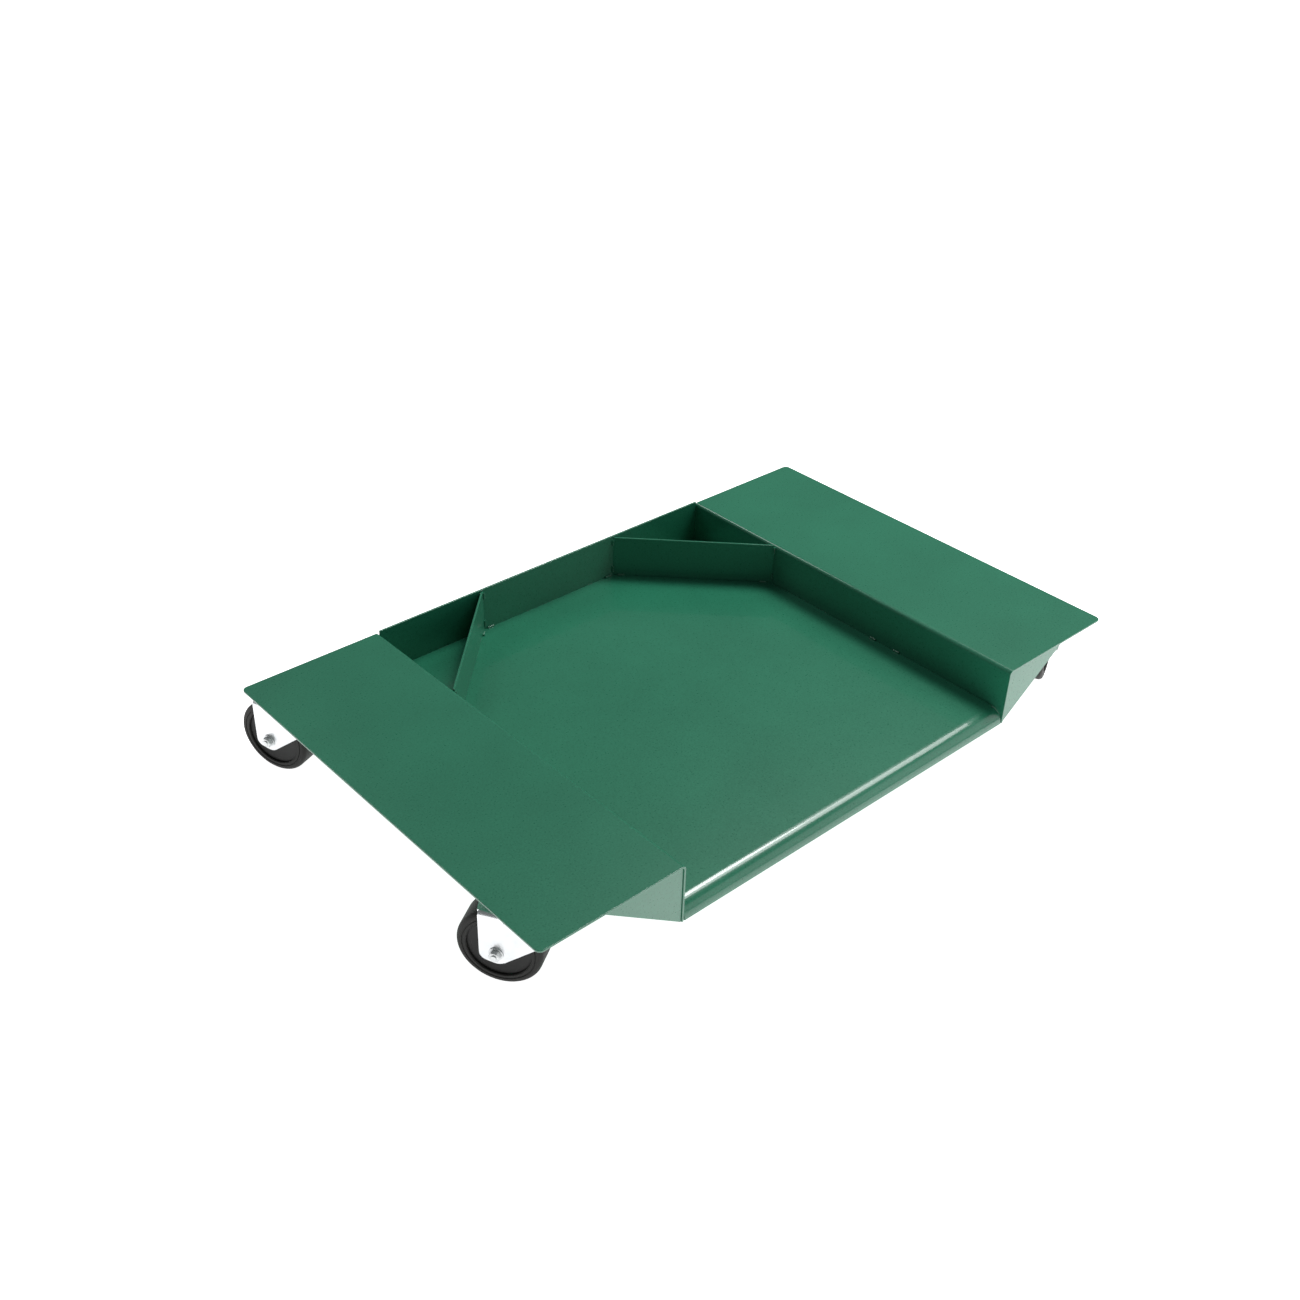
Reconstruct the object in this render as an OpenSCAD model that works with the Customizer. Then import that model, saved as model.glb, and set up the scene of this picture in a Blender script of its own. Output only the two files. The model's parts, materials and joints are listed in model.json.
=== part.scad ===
// Low drum dolly: two raised side decks and a sunken bay, all in folded and welded sheet steel,
// on four swivel casters. +X is the width, -Y the open front, +Z up. The origin lies on the
// ground below the middle of the whole dolly, with its casters as they rest. Sizes are in mm.

/* [Tray] */
// Clear width of the sunken bay between its side walls
bay_w = 610; // [580:5:640]
// Width of each raised side deck
deck_w = 215; // [200:5:230]
// Depth of the tray, from the open front to the back
tray_d = 635; // [600:5:660]
// Height of the side walls, from the deck's top to their lower edge
wall_h = 88; // [86:1:92]
// Depth of the bay floor below the decks
floor_drop = 67; // [60:1:68]
// Height of the back wall above the decks
back_rise = 3; // [0:0.5:6]
// Thickness of the sheet steel
sheet = 3; // [2:0.5:3]

/* [Bends and corners] */
// Outer radius of the fold between a deck and its side wall
bend_r = 6; // [4:0.5:8]
// Radius of the decks' outer corners
corner_r = 8; // [6:1:20]
// Gap between each end of the floor's rolled front edge and the side wall
roll_gap = 1.5; // [0.5:0.5:3]

/* [Gussets and webs] */
// Length of a corner gusset along each of the two walls that it joins
gusset_leg = 179; // [150:1:190]
// Length of a triangular web along the underside of its deck
web_l = 121; // [100:1:121]

/* [Caster] */
// Overall height of a caster, from the ground to the top of its plate
caster_h = 130; // [129:1:134]
// Diameter of the tyre
wheel_d = 106; // [100:1:108]
// Width of the tyre
tyre_w = 42; // [36:1:42]
// Distance from the swivel axis back to the axle
trail = 53; // [44:1:54]
// Distance from the swivel axis to the deck's outer edge
caster_in_x = 63; // [60:1:66]
// Distance from the swivel axis to the front or rear edge
caster_in_y = 64; // [62:1:68]

/* [Resting swivel angles] */
// Direction in which the front left wheel trails, from +X towards +Y
front_left_angle = 122; // [0:1:359]
// Direction in which the front right wheel trails
front_right_angle = 25; // [0:1:359]
// Direction in which the rear left wheel trails
rear_left_angle = 111; // [0:1:359]
// Direction in which the rear right wheel trails
rear_right_angle = 115; // [0:1:359]

/* [Hidden] */
CORNERS = [
    ["front_left", -1, -1, front_left_angle],
    ["front_right", 1, -1, front_right_angle],
    ["rear_left", -1, 1, rear_left_angle],
    ["rear_right", 1, 1, rear_right_angle],
];
TRAY_NODES = [
    "floor_pan", "left_deck", "right_deck", "back_wall", "left_gusset", "right_gusset",
    "front_left_web", "front_right_web", "rear_left_web", "rear_right_web",
    "bay_welds", "web_welds", "caster_welds",
];
CASTER_NODES = [
    "top_plate", "kingpin", "kingpin_nut", "lower_race", "race_balls", "fork",
    "axle_bolt", "axle_nut", "axle_sleeve", "wheel_core", "tyre",
];

$fn = 64;
paint = "seagreen";
zinc = "gainsboro";

// Heights and edges of the tray
deck_z = caster_h + sheet;
under_z = caster_h;
floor_z = deck_z - floor_drop;
wall_x = bay_w / 2;
front_y = -tray_d / 2;
back_y = tray_d / 2;
wall_face_y = back_y - sheet;

// Welds: leg length of the fillets, length of a tack, and start and pitch of the wall's tacks
fillet = 3;
tack_l = 10;
tack_in = 190;
tack_pitch = 46;
tack_n = 2;

// Distance from the tray's front or rear edge in to the face of a web
web_in = 1.5;

// Swivel: balls run between the plate's boss, the fork's turret and the lower race
plate_l = 92;
plate_w = 67;
plate_t = 3;
boss_r = 27;
boss_t = 3;
slot_r = 4.2;
slot_l = 4;
slot_x = 36;
slot_y = 24;
kingpin_r = 6;
kingpin_head_r = 10;
kingpin_head_t = 2.5;
upper_ball_r = 2.75;
upper_ring_r = 22;
upper_ball_n = 18;
lower_ball_r = 2.5;
lower_ring_r = 13;
lower_ball_n = 12;
race_top = -15.5;
race_t = 3;
race_r = 18;
nut_t = 6.5;
ball_play = 0.1;
slip = 0.05;

// Fork: a round turret pressed up from a flat crown, two legs folded down from the crown's
// sides, and a short lip behind them that ends on an arc about the swivel axis
turret_top = -9;
turret_r = 28;
turret_t = 3.5;
crown_top = -18.5;
fork_t = 3;
fork_gap = 50;
fork_half = fork_gap / 2 + fork_t;
fork_bend = 7;
leg_front = -24;
leg_back = trail + 21;
leg_front_low = -34;
foot_r = 15.5;
heel_r = 11;
heel_drop = 2.5;
lip_r = 79;
joggle_x = trail - 10;
joggle_t = 0.8;
axle_r = 4;
axle_z = wheel_d / 2 - caster_h;

// Wheel: sleeve, and a solid core with a hub, under a tyre with rounded shoulders
sleeve_r = 6;
hub_r = 11;
hub_w = 48;
core_r = 40;
core_w = 36;
shoulder_r = 6;
running = 0.06;

// Swivel axes, and how far a tyre reaches from its own middle along X and along Y
caster_x = wall_x + deck_w - caster_in_x;
caster_y = back_y - caster_in_y;
function reach(along, across) =
    (wheel_d / 2 - shoulder_r) * abs(along) + (tyre_w / 2 - shoulder_r) * abs(across) + shoulder_r;
tyre_xs = [for (c = CORNERS, s = [-1, 1])
    c[1] * caster_x + trail * cos(c[3]) + s * reach(cos(c[3]), sin(c[3]))];
tyre_ys = [for (c = CORNERS, s = [-1, 1])
    c[2] * caster_y + trail * sin(c[3]) + s * reach(sin(c[3]), cos(c[3]))];

// Middle of the whole dolly: only decks and tyres can be outermost
deck_x = wall_x + deck_w;
mid_x = (max(deck_x, max(tyre_xs)) + min(-deck_x, min(tyre_xs))) / 2;
mid_y = (max(back_y, max(tyre_ys)) + min(front_y, min(tyre_ys))) / 2;

// ---- Helpers ----

// Draws its children on the right, or mirrored on the left where side is negative.
module at_side(side) {
    if (side < 0) mirror([1, 0, 0]) children();
    else children();
}

// Section of a fillet weld: a quarter round whose legs point to the given sides.
module quarter(leg, x_side, y_side) {
    intersection() {
        circle(leg);
        translate([x_side < 0 ? -leg : 0, y_side < 0 ? -leg : 0])
            square(leg);
    }
}

// Runs a section along +X, with the section's x as Y and its y as Z.
module run_x(l) {
    rotate([90, 0, 90])
        linear_extrude(l)
            children();
}

// Runs a section along +Y, with the section's x as X and its y as Z.
module run_y(l) {
    translate([0, l, 0])
        rotate([90, 0, 0])
            linear_extrude(l)
                children();
}

// A flat bar with round ends, from one point to another in its plane.
module bar_2d(a, b, w) {
    d = b - a;
    translate(a)
        rotate(atan2(d[1], d[0]))
            translate([0, -w / 2])
                square([norm(d), w]);
    for (p = [a, b])
        translate(p)
            circle(w / 2);
}

// Point where the tangent from p touches the circle of radius r about c, on one side.
function tangent_point(p, c, r, side) =
    let (d = c - p, l = norm(d), a = atan2(d[1], d[0]) + side * asin(r / l), t = sqrt(l * l - r * r))
    p + t * [cos(a), sin(a)];

// Angle at which one straight line touches two circles, on the right of the way from c1 to c2.
function shared_tangent(c1, r1, c2, r2) =
    let (d = c2 - c1)
    atan2(d[1], d[0]) - acos((r1 - r2) / norm(d));

// ---- Tray ----

// Section of a right-hand deck: the wall's bay face is at x = 0 and the deck's top at y = 0.
module deck_section() {
    translate([bend_r, -sheet])
        square([deck_w - bend_r, sheet]);
    translate([0, -wall_h])
        square([sheet, wall_h - bend_r]);
    translate([bend_r, -bend_r])
        intersection() {
            difference() {
                circle(bend_r);
                circle(bend_r - sheet);
            }
            translate([-bend_r, 0])
                square(bend_r);
        }
}

// Two rounded outer corners in plan, as the waste to cut away.
module corner_waste() {
    for (end = [-1, 1])
        translate([deck_w - corner_r, end * (back_y - corner_r), -sheet - 1])
            linear_extrude(sheet + 2)
                difference() {
                    translate([0, end > 0 ? 0 : -corner_r - 1])
                        square(corner_r + 1);
                    circle(corner_r);
                }
}

module deck(side) {
    color(paint)
        at_side(side)
            translate([wall_x, 0, deck_z])
                difference() {
                    translate([0, front_y, 0])
                        run_y(tray_d)
                            deck_section();
                    corner_waste();
                }
}

// Flat floor whose front edge rolls down in a quarter round to the walls' lower edge.
module floor_pan() {
    roll_w = bay_w - 2 * roll_gap;
    roll_r = wall_h - floor_drop;
    color(paint)
        union() {
            translate([-wall_x, front_y + roll_r, floor_z - sheet])
                cube([bay_w, tray_d - roll_r - sheet, sheet]);
            translate([-roll_w / 2, front_y + roll_r, floor_z - roll_r])
                run_x(roll_w)
                    difference() {
                        quarter(roll_r, -1, 1);
                        circle(roll_r - sheet);
                    }
        }
}

module back_wall() {
    color(paint)
        translate([-wall_x, wall_face_y, deck_z - wall_h])
            cube([bay_w, sheet, wall_h + back_rise]);
}

// Upright plate across a rear corner of the bay, mitred to lie against both walls.
module gusset(side) {
    mitre = sheet * sqrt(2);
    color(paint)
        at_side(side)
            translate([wall_x, wall_face_y, floor_z])
                linear_extrude(floor_drop)
                    polygon([
                        [0, -gusset_leg],
                        [0, mitre - gusset_leg],
                        [mitre - gusset_leg, 0],
                        [-gusset_leg, 0],
                    ]);
}

// Triangular web that closes the angle between a deck and its wall at the front or the rear.
module web(side, end) {
    color(paint)
        at_side(side)
            translate([wall_x, end < 0 ? front_y + web_in + sheet : back_y - web_in, deck_z])
                rotate([90, 0, 0])
                    linear_extrude(sheet)
                        polygon([
                            [sheet, -bend_r],
                            [bend_r, -sheet],
                            [web_l, -sheet],
                            [web_l, -sheet - 1],
                            [sheet + 1, -wall_h],
                            [sheet, -wall_h],
                        ]);
}

// Tacks inside the bay: along the back wall, along the feet of the gussets and up their ends,
// and along the side walls.
module bay_welds() {
    between = bay_w - 2 * gusset_leg - 4 * fillet;
    along = gusset_leg * sqrt(2) - 6 * fillet;
    color(paint) {
        for (side = [-1, 1])
            at_side(side) {
                translate([between / 2 - tack_l, wall_face_y, floor_z])
                    run_x(tack_l)
                        quarter(fillet, -1, 1);
                translate([wall_x, wall_face_y - gusset_leg, floor_z])
                    rotate([0, 0, 135])
                        for (start = [0, along - tack_l])
                            translate([3 * fillet + start, 0, 0])
                                run_x(tack_l)
                                    quarter(fillet, 1, 1);
                for (i = [0 : tack_n - 1])
                    translate([wall_x, front_y + tack_in + i * tack_pitch, floor_z])
                        run_y(tack_l)
                            quarter(fillet, -1, 1);
                gusset_end_welds();
            }
    }
}

// Upright tacks, low and high, where a gusset meets the side wall and the back wall.
module gusset_end_welds() {
    leg = 1.2 * fillet;
    slant = leg / sqrt(2);
    for (z = [2 * fillet, floor_drop - fillet - tack_l])
        translate([wall_x, wall_face_y, floor_z + z])
            linear_extrude(tack_l) {
                polygon([[0, -gusset_leg], [-slant, slant - gusset_leg], [0, -gusset_leg - leg]]);
                polygon([[-gusset_leg, 0], [slant - gusset_leg, -slant], [-gusset_leg - leg, 0]]);
            }
}

// Fillets behind the four webs, under the deck and down the wall.
module web_welds() {
    clear = 6;
    color(paint)
        for (side = [-1, 1], end = [-1, 1])
            at_side(side)
                translate([wall_x, end * (back_y - sheet - web_in), deck_z]) {
                    translate([bend_r + clear, 0, -sheet])
                        run_x(web_l - bend_r - 4 * clear)
                            quarter(fillet, -end, -1);
                    translate([sheet, 0, 2 * clear - wall_h])
                        linear_extrude(wall_h - bend_r - 3 * clear)
                            quarter(fillet, 1, -end);
                }
}

// ---- Caster: z = 0 is the deck's underside, the swivel axis is Z and the wheel trails to +X ----

module at_caster(c, swivel = true) {
    translate([c[1] * caster_x, c[2] * caster_y, under_z])
        rotate([0, 0, swivel ? c[3] : 0])
            children();
}

// Ring of space that one ring of balls needs.
module ball_groove(ring_r, ball_r, z) {
    translate([0, 0, z])
        rotate_extrude()
            translate([ring_r, 0])
                circle(ball_r + ball_play, $fn = 32);
}

module ball_ring(ring_r, ball_r, count, z) {
    for (i = [0 : count - 1])
        rotate([0, 0, i * 360 / count])
            translate([ring_r, 0, z])
                sphere(ball_r, $fn = 24);
}

upper_ball_z = (turret_top - plate_t - boss_t) / 2;
lower_ball_z = (turret_top - turret_t + race_top) / 2;

module upper_groove() {
    ball_groove(upper_ring_r, upper_ball_r, upper_ball_z);
}

module lower_groove() {
    ball_groove(lower_ring_r, lower_ball_r, lower_ball_z);
}

module top_plate() {
    edge_r = 6;
    color(zinc)
        difference() {
            union() {
                translate([0, 0, -plate_t])
                    linear_extrude(plate_t)
                        union() {
                            square([plate_l - 2 * edge_r, plate_w], center = true);
                            square([plate_l, plate_w - 2 * edge_r], center = true);
                            for (x = [-1, 1], y = [-1, 1])
                                translate([x * (plate_l / 2 - edge_r), y * (plate_w / 2 - edge_r)])
                                    circle(edge_r);
                        }
                translate([0, 0, -plate_t - boss_t])
                    cylinder(boss_t + 1, r = boss_r);
            }
            upper_groove();
            translate([0, 0, -kingpin_head_t - 2 * slip])
                cylinder(2 * kingpin_head_t, r = kingpin_head_r + slip);
            translate([0, 0, -plate_t - boss_t - 1])
                cylinder(plate_t + boss_t + 2, r = kingpin_r + slip);
            for (x = [-1, 1], y = [-1, 1])
                translate([x * slot_x, y * slot_y, -plate_t - 1])
                    linear_extrude(plate_t + 2)
                        bar_2d([-slot_l / 2, 0], [slot_l / 2, 0], 2 * slot_r);
        }
}

module kingpin() {
    tip = race_top - race_t - nut_t - 2;
    color(zinc)
        union() {
            translate([0, 0, -kingpin_head_t - 2 * slip])
                cylinder(kingpin_head_t, r = kingpin_head_r);
            translate([0, 0, tip])
                cylinder(-tip - 1, r = kingpin_r);
        }
}

module lower_race() {
    color(zinc)
        difference() {
            translate([0, 0, race_top - race_t])
                cylinder(race_t, r = race_r);
            lower_groove();
            translate([0, 0, race_top - race_t - 1])
                cylinder(race_t + 2, r = kingpin_r + slip);
        }
}

module hex_nut(across_flats, thickness, hole_r) {
    difference() {
        cylinder(thickness, r = across_flats / sqrt(3), $fn = 6);
        translate([0, 0, -1])
            cylinder(thickness + 2, r = hole_r);
    }
}

module kingpin_nut() {
    color(zinc)
        translate([0, 0, race_top - race_t - nut_t])
            hex_nut(19, nut_t, kingpin_r + slip);
}

module race_balls() {
    color(zinc) {
        ball_ring(upper_ring_r, upper_ball_r, upper_ball_n, upper_ball_z);
        ball_ring(lower_ring_r, lower_ball_r, lower_ball_n, lower_ball_z);
    }
}

// Side view of a fork leg: an upright back edge, a slanting front edge and a foot that is
// round about the axle and about the heel behind it.
module leg_outline() {
    axle = [trail, axle_z];
    heel = [leg_back - heel_r, axle_z - heel_drop];
    front_low = [leg_front, leg_front_low];
    sole = shared_tangent(axle, foot_r, heel, heel_r);
    down = [cos(sole), sin(sole)];
    polygon([
        [leg_front, crown_top],
        front_low,
        tangent_point(front_low, axle, foot_r, -1),
        axle,
        axle + foot_r * down,
        heel + heel_r * down,
        heel,
        heel + [heel_r, 0],
        [leg_back, crown_top],
    ]);
    translate(axle)
        circle(foot_r);
    translate(heel)
        circle(heel_r);
}

// Section across the fork below the turret: a flat crown with a leg folded down at each side.
module fork_section() {
    inner_r = fork_bend - fork_t;
    difference() {
        fold_outline(fork_half, crown_top, fork_bend);
        fold_outline(fork_gap / 2, crown_top - fork_t, inner_r);
    }
}

// Filled section under a fold: straight sides, a flat top and two rounded top corners.
module fold_outline(half_w, top, r) {
    translate([-half_w, -caster_h])
        square([2 * half_w, caster_h + top - r]);
    translate([r - half_w, top - r - 1])
        square([2 * (half_w - r), r + 1]);
    for (s = [-1, 1])
        translate([s * (half_w - r), top - r])
            circle(r);
}

module fork() {
    color(zinc)
        difference() {
            union() {
                intersection() {
                    translate([leg_front - 1, 0, 0])
                        run_x(leg_back - leg_front + 2)
                            fork_section();
                    translate([0, -fork_half - 1, 0])
                        run_y(2 * fork_half + 2)
                            leg_outline();
                }
                crown_lip();
                translate([0, 0, crown_top - fork_t])
                    cylinder(turret_top - crown_top + fork_t, r = turret_r);
                for (s = [-1, 1])
                    leg_joggle(s);
            }
            translate([0, 0, crown_top - fork_t - 1])
                cylinder(turret_top - turret_t - crown_top + fork_t + 1, r = turret_r - fork_t);
            upper_groove();
            lower_groove();
            translate([0, 0, turret_top - turret_t - 1])
                cylinder(turret_t + 2, r = kingpin_r + 1);
            translate([trail, fork_half + 3, axle_z])
                rotate([90, 0, 0])
                    cylinder(2 * fork_half + 6, r = axle_r + slip);
        }
}

// Short shelf at the crown's level behind the legs.
module crown_lip() {
    half_w = fork_half + fork_t - fork_bend;
    translate([0, 0, crown_top - fork_t])
        intersection() {
            cylinder(fork_t, r = lip_r, $fn = 128);
            translate([leg_back - 1, -half_w, 0])
                cube([lip_r, 2 * half_w, fork_t]);
        }
}

// Front part of one leg, pressed a little outwards from the part round the axle.
module leg_joggle(s) {
    top = crown_top - fork_bend - 2;
    translate([0, s > 0 ? fork_half - 1 : -fork_half - joggle_t, 0])
        run_y(joggle_t + 1)
            intersection() {
                leg_outline();
                translate([leg_front - 1, top - caster_h])
                    square([joggle_x - leg_front + 1, caster_h]);
            }
}

module axle_bolt() {
    head_t = 5.3;
    past_nut = 9;
    color(zinc)
        translate([trail, 0, axle_z])
            rotate([-90, 0, 0])
                union() {
                    translate([0, 0, -fork_half])
                        cylinder(2 * fork_half + past_nut, r = axle_r);
                    translate([0, 0, -fork_half - head_t])
                        cylinder(head_t, r = 13 / sqrt(3), $fn = 6);
                }
}

// Hexagon nut on its washer.
module axle_nut() {
    washer_t = 1.6;
    color(zinc)
        translate([trail, fork_half, axle_z])
            rotate([-90, 0, 0])
                union() {
                    difference() {
                        cylinder(washer_t, r = 9);
                        translate([0, 0, -1])
                            cylinder(washer_t + 2, r = axle_r + slip);
                    }
                    translate([0, 0, washer_t])
                        hex_nut(13, 6, axle_r + slip);
                }
}

module axle_sleeve() {
    color(zinc)
        translate([trail, fork_gap / 2, axle_z])
            rotate([90, 0, 0])
                difference() {
                    cylinder(fork_gap, r = sleeve_r);
                    translate([0, 0, -1])
                        cylinder(fork_gap + 2, r = axle_r + slip);
                }
}

module wheel_core() {
    color("dimgray")
        translate([trail, 0, axle_z])
            rotate([90, 0, 0])
                difference() {
                    union() {
                        cylinder(hub_w, r = hub_r, center = true);
                        cylinder(core_w, r = core_r, center = true);
                    }
                    cylinder(hub_w + 2, r = sleeve_r + running, center = true);
                }
}

module tyre() {
    tread = wheel_d / 2;
    half = tyre_w / 2;
    color([0.12, 0.12, 0.12])
        translate([trail, 0, axle_z])
            rotate([90, 0, 0])
                rotate_extrude()
                    union() {
                        translate([core_r, -half])
                            square([tread - shoulder_r - core_r, tyre_w]);
                        translate([core_r, shoulder_r - half])
                            square([tread - core_r, tyre_w - 2 * shoulder_r]);
                        for (s = [-1, 1])
                            translate([tread - shoulder_r, s * (half - shoulder_r)])
                                circle(shoulder_r, $fn = 48);
                    }
}

// Fillets along the two short edges of each caster's plate.
module caster_welds() {
    weld_l = plate_w - 16;
    color(paint)
        for (c = CORNERS, s = [-1, 1])
            at_caster(c, swivel = false)
                translate([s * plate_l / 2, -weld_l / 2, 0])
                    run_y(weld_l)
                        quarter(plate_t, s, -1);
}

// ---- Nodes ----

// Moves the tray's own middle to where the whole dolly's middle is the origin.
module centred() {
    translate([-mid_x, -mid_y, 0])
        children();
}

centred() floor_pan();
centred() deck(-1);  // left_deck
centred() deck(1);  // right_deck
centred() back_wall();
centred() gusset(-1);  // left_gusset
centred() gusset(1);  // right_gusset
centred() web(-1, -1);  // front_left_web
centred() web(1, -1);  // front_right_web
centred() web(-1, 1);  // rear_left_web
centred() web(1, 1);  // rear_right_web
centred() bay_welds();
centred() web_welds();
centred() caster_welds();

for (c = CORNERS) {
    centred() at_caster(c, swivel = false) top_plate();
    centred() at_caster(c) kingpin();
    centred() at_caster(c) kingpin_nut();
    centred() at_caster(c) lower_race();
    centred() at_caster(c) race_balls();
    centred() at_caster(c) fork();
    centred() at_caster(c) axle_bolt();
    centred() at_caster(c) axle_nut();
    centred() at_caster(c) axle_sleeve();
    centred() at_caster(c) wheel_core();
    centred() at_caster(c) tyre();
}
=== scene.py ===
# %% [markdown]
# # A low drum dolly in painted sheet steel
# The dolly is a shallow welded tray: two raised decks, a sunken bay with an open front, and a
# swivel caster under each corner. The measured solids arrive as a frame of separate nodes.
# This lesson gives each node a finer piece with the same place and size, rides it on the node's
# body so that it moves with the joints, and then sets up the studio. Reading the frame first is
# the natural start, because every later size comes from it.

import json
import math

import bmesh
import bpy
from mathutils import Matrix, Vector

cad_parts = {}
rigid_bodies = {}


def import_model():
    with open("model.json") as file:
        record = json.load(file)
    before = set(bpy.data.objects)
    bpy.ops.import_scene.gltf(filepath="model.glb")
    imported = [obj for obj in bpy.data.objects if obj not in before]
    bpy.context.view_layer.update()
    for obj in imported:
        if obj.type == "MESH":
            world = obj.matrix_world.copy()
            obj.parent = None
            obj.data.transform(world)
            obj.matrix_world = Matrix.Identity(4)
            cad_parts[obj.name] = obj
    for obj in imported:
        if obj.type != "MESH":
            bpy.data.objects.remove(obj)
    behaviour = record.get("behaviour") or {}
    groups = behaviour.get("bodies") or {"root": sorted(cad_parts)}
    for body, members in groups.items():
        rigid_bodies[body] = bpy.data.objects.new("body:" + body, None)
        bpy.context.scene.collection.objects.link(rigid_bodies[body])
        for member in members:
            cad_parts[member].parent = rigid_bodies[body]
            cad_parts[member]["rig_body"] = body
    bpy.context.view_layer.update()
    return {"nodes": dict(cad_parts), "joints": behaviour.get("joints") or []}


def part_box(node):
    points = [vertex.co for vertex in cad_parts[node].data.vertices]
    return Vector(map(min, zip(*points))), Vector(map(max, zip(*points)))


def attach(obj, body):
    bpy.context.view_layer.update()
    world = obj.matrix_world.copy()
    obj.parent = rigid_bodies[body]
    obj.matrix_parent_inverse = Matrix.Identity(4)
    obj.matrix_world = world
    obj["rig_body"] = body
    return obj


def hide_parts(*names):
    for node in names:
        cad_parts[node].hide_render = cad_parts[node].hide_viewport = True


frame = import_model()
nodes = frame["nodes"]
joints = {joint["name"]: joint for joint in frame["joints"]}
MM = 0.001
CORNERS = ("front_left", "front_right", "rear_left", "rear_right")
SIDES = ("left", "right")
print("nodes:", len(nodes), "joints:", len(joints))

# %% [markdown]
# ## Writing nodes as sums
# A material or a Geometry Nodes tree is a graph, and long graphs are hard to read as lists of
# links. A small class that wraps one socket lets Python's own operators add the Math nodes, so
# that a roughness can be written as 0.3 + 0.1 * grain. One more method adds any other node.

# %% Sockets with arithmetic, and trees that take nodes in one line
def feed(tree, socket, value):
    """Links a wire to a socket, or sets the socket's own value."""
    if isinstance(value, Wire):
        tree.links.new(value.socket, socket)
    else:
        socket.default_value = value


class Wire:
    """One output socket. Sums on it become Math nodes."""

    def __init__(self, tree, socket):
        self.tree = tree
        self.socket = socket

    def maths(self, operation, first, second=0.0):
        node = self.tree.nodes.new("ShaderNodeMath")
        node.operation = operation
        feed(self.tree, node.inputs[0], first)
        feed(self.tree, node.inputs[1], second)
        return Wire(self.tree, node.outputs[0])

    def __add__(self, other):
        return self.maths("ADD", self, other)

    def __sub__(self, other):
        return self.maths("SUBTRACT", self, other)

    def __rsub__(self, other):
        return self.maths("SUBTRACT", other, self)

    def __mul__(self, other):
        return self.maths("MULTIPLY", self, other)

    def __truediv__(self, other):
        return self.maths("DIVIDE", self, other)

    def __pow__(self, other):
        return self.maths("POWER", self, other)

    __radd__ = __add__
    __rmul__ = __mul__


class Plan:
    """A node tree that takes a node's type, its settings and its inputs in one call."""

    def __init__(self, tree):
        self.tree = tree

    def node(self, kind, settings=None, inputs=None, out=0):
        made = self.tree.nodes.new(kind)
        for name, value in (settings or {}).items():
            setattr(made, name, value)
        for key, value in (inputs or {}).items():
            feed(self.tree, made.inputs[key], value)
        return Wire(self.tree, made.outputs[out])


print("helpers ready")

# %% [markdown]
# ## Finishes
# The tray has one coat of semi-gloss enamel with the fine mottle of sprayed paint, and the same
# coat runs over the weld beads. The caster parts are bright zinc, and the wheels are black
# rubber on a hard core. Each finish is a Principled shader whose colour, roughness and surface
# relief vary with noise on Object coordinates, because those stay with the piece as it moves.

# %% A starting point for every finish
def new_finish(name, **fixed):
    """A material with the given values set on its shader, and the parts to build on."""
    material = bpy.data.materials.new(name)
    material.use_nodes = True
    tree = material.node_tree
    shader = tree.nodes["Principled BSDF"]
    for socket, value in fixed.items():
        shader.inputs[socket.replace("_", " ")].default_value = value
    plan = Plan(tree)
    place = plan.node("ShaderNodeTexCoord", out="Object")
    return material, plan, shader, place


def noise(plan, place, scale, detail=2.0, roughness=0.5):
    """Soft noise from 0 to 1. The scale counts features per metre."""
    sizes = {"Vector": place, "Scale": scale, "Detail": detail, "Roughness": roughness}
    return plan.node("ShaderNodeTexNoise", {}, sizes)


def blend(plan, factor, first, second):
    """A mix of two colours."""
    settings = {"data_type": "RGBA", "clamp_factor": True}
    return plan.node("ShaderNodeMix", settings, {0: factor, 6: first, 7: second}, out=2)


def relief(plan, height, strength):
    """A bump from a height field in metres."""
    sizes = {"Height": height, "Distance": 1.0, "Strength": strength}
    return plan.node("ShaderNodeBump", {}, sizes)


# %% [markdown]
# The enamel is a green dielectric with a thin clear coat, not a metal, so that it stays deep
# where it reflects shade and turns pale only where it reflects the bright floor. The sizes of
# its noise are counts per metre: fine mottle, broad clouds, spray grain and low waves.

# %% Enamel
MOTTLE_SCALE, CLOUD_SCALE = 420.0, 9.0
GRAIN_SCALE, WAVE_SCALE = 750.0, 14.0
GRAIN_DEPTH = 0.05 * MM
RIPPLE_DEPTH = 0.3 * MM


def enamel(name, light, dark, ripple):
    """Semi-gloss paint. The ripple is the depth of its low waves, in metres."""
    material, plan, shader, place = new_finish(
        name, Coat_Weight=0.5, Coat_Roughness=0.06, Specular_IOR_Level=0.5
    )
    mottle = noise(plan, place, MOTTLE_SCALE, 3.0, 0.6)
    cloud = noise(plan, place, CLOUD_SCALE)
    shade = (mottle - 0.5) * 1.5 + (cloud - 0.5) * 0.6 + 0.5
    feed(plan.tree, shader.inputs["Base Color"], blend(plan, shade, dark, light))
    feed(plan.tree, shader.inputs["Roughness"], 0.24 + 0.1 * mottle)
    grain = noise(plan, place, GRAIN_SCALE)
    wave = noise(plan, place, WAVE_SCALE, 1.0)
    height = grain * GRAIN_DEPTH + wave * ripple
    feed(plan.tree, shader.inputs["Normal"], relief(plan, height, 0.6))
    return material


green_enamel = enamel(
    "green_enamel", (0.022, 0.200, 0.112, 1.0), (0.010, 0.125, 0.068, 1.0), RIPPLE_DEPTH
)
weld_enamel = enamel(
    "weld_enamel", (0.024, 0.200, 0.112, 1.0), (0.008, 0.090, 0.048, 1.0), 0.0
)
print("enamels:", green_enamel.name, weld_enamel.name)

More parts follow.
